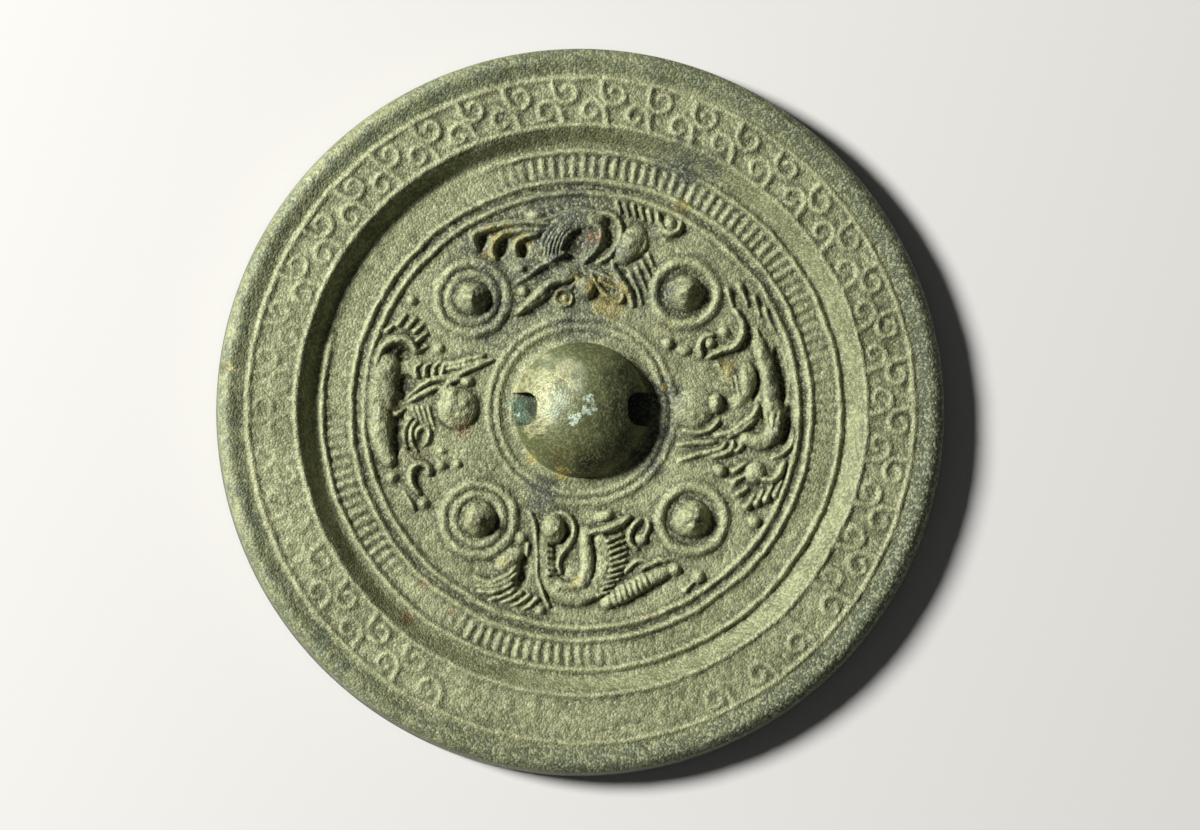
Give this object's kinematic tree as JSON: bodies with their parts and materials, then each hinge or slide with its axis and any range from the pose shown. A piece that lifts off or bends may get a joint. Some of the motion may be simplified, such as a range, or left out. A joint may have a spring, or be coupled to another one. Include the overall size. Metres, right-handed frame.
{
  "type": "ancient bronze mirror",
  "caption": "Round cast bronze mirror with a pierced knob, nipples and relief beasts inside a comb band and a rim of cloud scrolls.",
  "frame": {"origin": "middle of the flat spot on the reflecting face, which is the underside of the mirror as it lies", "axes": "+Z out of the decorated back through the knob, +Y to the top of its picture, +X to its right, along the cord hole"},
  "size_m": [0.11, 0.11, 0.0103],
  "materials": {
    "patinated_bronze": "cast tin bronze under a dry, sandy grey-green burial patina"
  },
  "bodies": {
    "root": {"bronze_mirror": "patinated_bronze"}
  },
  "joints": []
}
